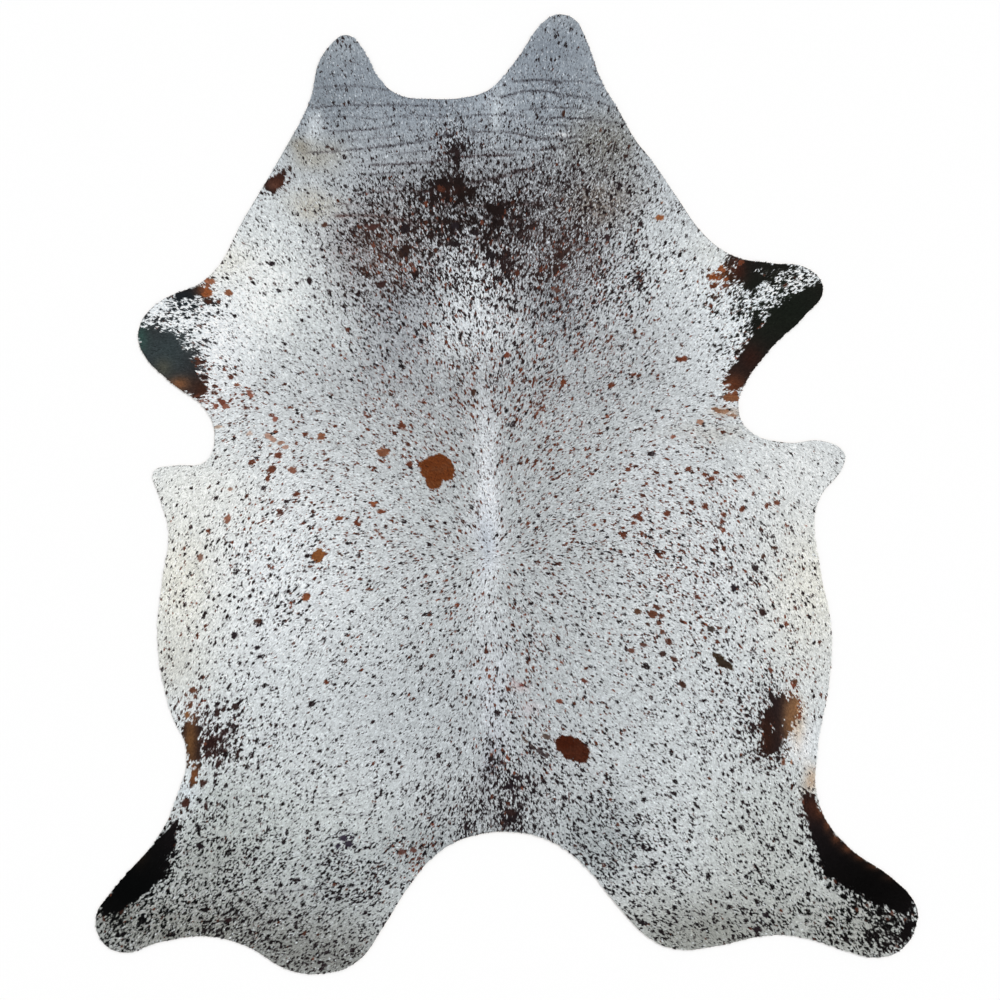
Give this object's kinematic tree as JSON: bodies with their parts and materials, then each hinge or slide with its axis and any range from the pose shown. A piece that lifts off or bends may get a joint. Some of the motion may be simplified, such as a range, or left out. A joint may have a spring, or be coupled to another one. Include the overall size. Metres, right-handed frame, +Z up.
{
  "type": "cowhide rug",
  "caption": "Whole cowhide rug: one hair-on hide lying flat, cut round its natural outline of neck lobes, legs and flanks.",
  "frame": {"origin": "middle of the hide's bounding box, on the floor under its leather side", "axes": "+Z up, from the leather side to the hair side; +Y along the back towards the neck; +X to the hide's right seen from above"},
  "size_m": [1.8485, 2.1575, 0.0042],
  "materials": {
    "hide": "short glossy hair, speckled grey-white"
  },
  "bodies": {
    "root": {"hide": "hide"}
  },
  "joints": []
}
